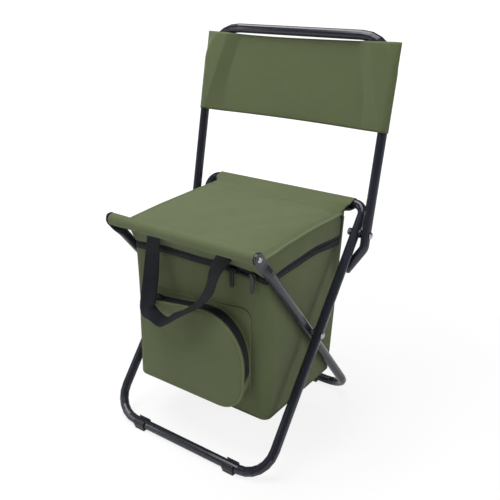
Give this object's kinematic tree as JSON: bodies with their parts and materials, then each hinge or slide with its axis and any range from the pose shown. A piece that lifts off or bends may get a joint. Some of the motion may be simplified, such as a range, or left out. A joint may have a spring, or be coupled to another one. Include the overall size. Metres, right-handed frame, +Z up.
{
  "type": "folding cooler stool",
  "caption": "Folding stool on crossed tube legs with a cloth seat, a zipped cooler bag slung under the seat, a front pocket, a carrying strap and a cloth backrest that folds down.",
  "frame": {"origin": "on the floor, under the middle of the open stool", "axes": "+Z up, the sitter faces -Y, +X is on the right in a view from the front"},
  "size_m": [0.3626, 0.3261, 0.6205],
  "materials": {
    "coated_tube": "glossy dark powder coat on steel tube",
    "zinc": "bright zinc plating",
    "black_plastic": "moulded black plastic",
    "green_cloth": "woven olive-green cloth",
    "webbing": "woven black webbing and zip tape",
    "lining": "reflective film on soft foam"
  },
  "bodies": {
    "outer_frame": {"outer_frame_tube": "coated_tube", "front_foot_clip_left": "black_plastic", "front_foot_clip_right": "black_plastic", "scissor_rivet_left": "zinc", "scissor_rivet_right": "zinc", "scissor_washer_left": "zinc", "scissor_washer_right": "zinc", "backrest_bolt_left": "zinc", "backrest_bolt_right": "zinc", "backrest_spacer_left": "black_plastic", "backrest_spacer_right": "black_plastic", "backrest_nut_left": "zinc", "backrest_nut_right": "zinc"},
    "inner_frame": {"inner_frame_tube": "coated_tube", "front_seat_bar": "coated_tube", "bar_end_plug_left": "black_plastic", "bar_end_plug_right": "black_plastic", "bar_end_screw_left": "zinc", "bar_end_screw_right": "zinc", "rear_foot_clip_left": "black_plastic", "rear_foot_clip_right": "black_plastic"},
    "backrest": {"backrest_tube": "coated_tube", "hook_plug_left": "black_plastic", "hook_plug_right": "black_plastic", "backrest_panel": "green_cloth"},
    "cooler_lid": {"seat_cover": "green_cloth", "lid_skirt": "green_cloth", "lid_pad": "lining", "zip_tape_upper": "webbing"},
    "lid_front": {"strap_end_left": "webbing", "strap_end_right": "webbing"},
    "cooler_bag": {"bag_shell": "green_cloth", "bag_liner": "lining", "zip_tape_lower": "webbing", "zip_chain": "black_plastic"},
    "bag_front": {"front_pocket": "green_cloth", "pocket_zip": "webbing"},
    "carry_strap": {"carry_strap": "webbing"},
    "zip_slider_left": {"zip_slider_left": "black_plastic"},
    "zip_slider_right": {"zip_slider_right": "black_plastic"},
    "zip_pull_left": {"zip_pull_left": "black_plastic"},
    "zip_pull_right": {"zip_pull_right": "black_plastic"},
    "pocket_slider": {"pocket_slider": "black_plastic"},
    "pocket_pull": {"pocket_pull": "black_plastic"}
  },
  "joints": [
    {"name": "scissor_fold", "type": "hinge", "parent": "outer_frame", "child": "inner_frame", "pos_m": [0, -0.0095, 0.1902], "axis": [-1, 0, 0], "range_deg": [0, 70], "deforming": ["seat_cover", "lid_skirt", "lid_pad", "zip_tape_upper", "zip_tape_lower", "zip_chain", "bag_shell", "bag_liner"]},
    {"name": "lid_fold", "type": "hinge", "parent": "outer_frame", "child": "cooler_lid", "pos_m": [0, -0.0095, 0.1902], "axis": [-1, 0, 0], "range_deg": [0, 35]},
    {"name": "backrest_fold", "type": "hinge", "parent": "outer_frame", "child": "backrest", "pos_m": [0, 0.09602, 0.32325], "axis": [1, 0, 0], "range_deg": [-7, 80]},
    {"name": "bag_open", "type": "hinge", "parent": "cooler_lid", "child": "cooler_bag", "pos_m": [0, 0.1141, 0.3515], "axis": [1, 0, 0], "range_deg": [0, 15]},
    {"name": "lid_front_slide", "type": "slide", "parent": "cooler_lid", "child": "lid_front", "axis": [0, 1, 0], "range_m": [0, 0.0692]},
    {"name": "strap_swing", "type": "hinge", "parent": "lid_front", "child": "carry_strap", "pos_m": [0, -0.12109, 0.3375], "axis": [-1, 0, 0], "range_deg": [0, 50]},
    {"name": "bag_front_slide", "type": "slide", "parent": "cooler_bag", "child": "bag_front", "axis": [0, 1, 0], "range_m": [0, 0.0692]},
    {"name": "zip_left_slide", "type": "slide", "parent": "bag_front", "child": "zip_slider_left", "axis": [-1, 0, 0], "range_m": [0, 0.164]},
    {"name": "zip_right_slide", "type": "slide", "parent": "bag_front", "child": "zip_slider_right", "axis": [-1, 0, 0], "range_m": [0, 0.016]},
    {"name": "zip_left_pull", "type": "hinge", "parent": "zip_slider_left", "child": "zip_pull_left", "pos_m": [0.068, -0.1127, 0.31275], "axis": [-1, 0, 0], "range_deg": [0, 90]},
    {"name": "zip_right_pull", "type": "hinge", "parent": "zip_slider_right", "child": "zip_pull_right", "pos_m": [0.1035, -0.1127, 0.31275], "axis": [-1, 0, 0], "range_deg": [0, 90]},
    {"name": "pocket_slide", "type": "slide", "parent": "bag_front", "child": "pocket_slider", "axis": [0.9899, 0, 0.1414], "range_m": [0, 0.085]},
    {"name": "pocket_pull_lift", "type": "hinge", "parent": "pocket_slider", "child": "pocket_pull", "pos_m": [-0.06257, -0.1214, 0.2381], "axis": [0, 1, 0], "range_deg": [0, 90]}
  ],
  "couplings": [
    {"joint": "lid_fold", "follows": "scissor_fold", "ratio": 0.5},
    {"joint": "lid_front_slide", "follows": "scissor_fold", "m_per_rad": 0.05656},
    {"joint": "bag_front_slide", "follows": "scissor_fold", "m_per_rad": 0.05656}
  ]
}
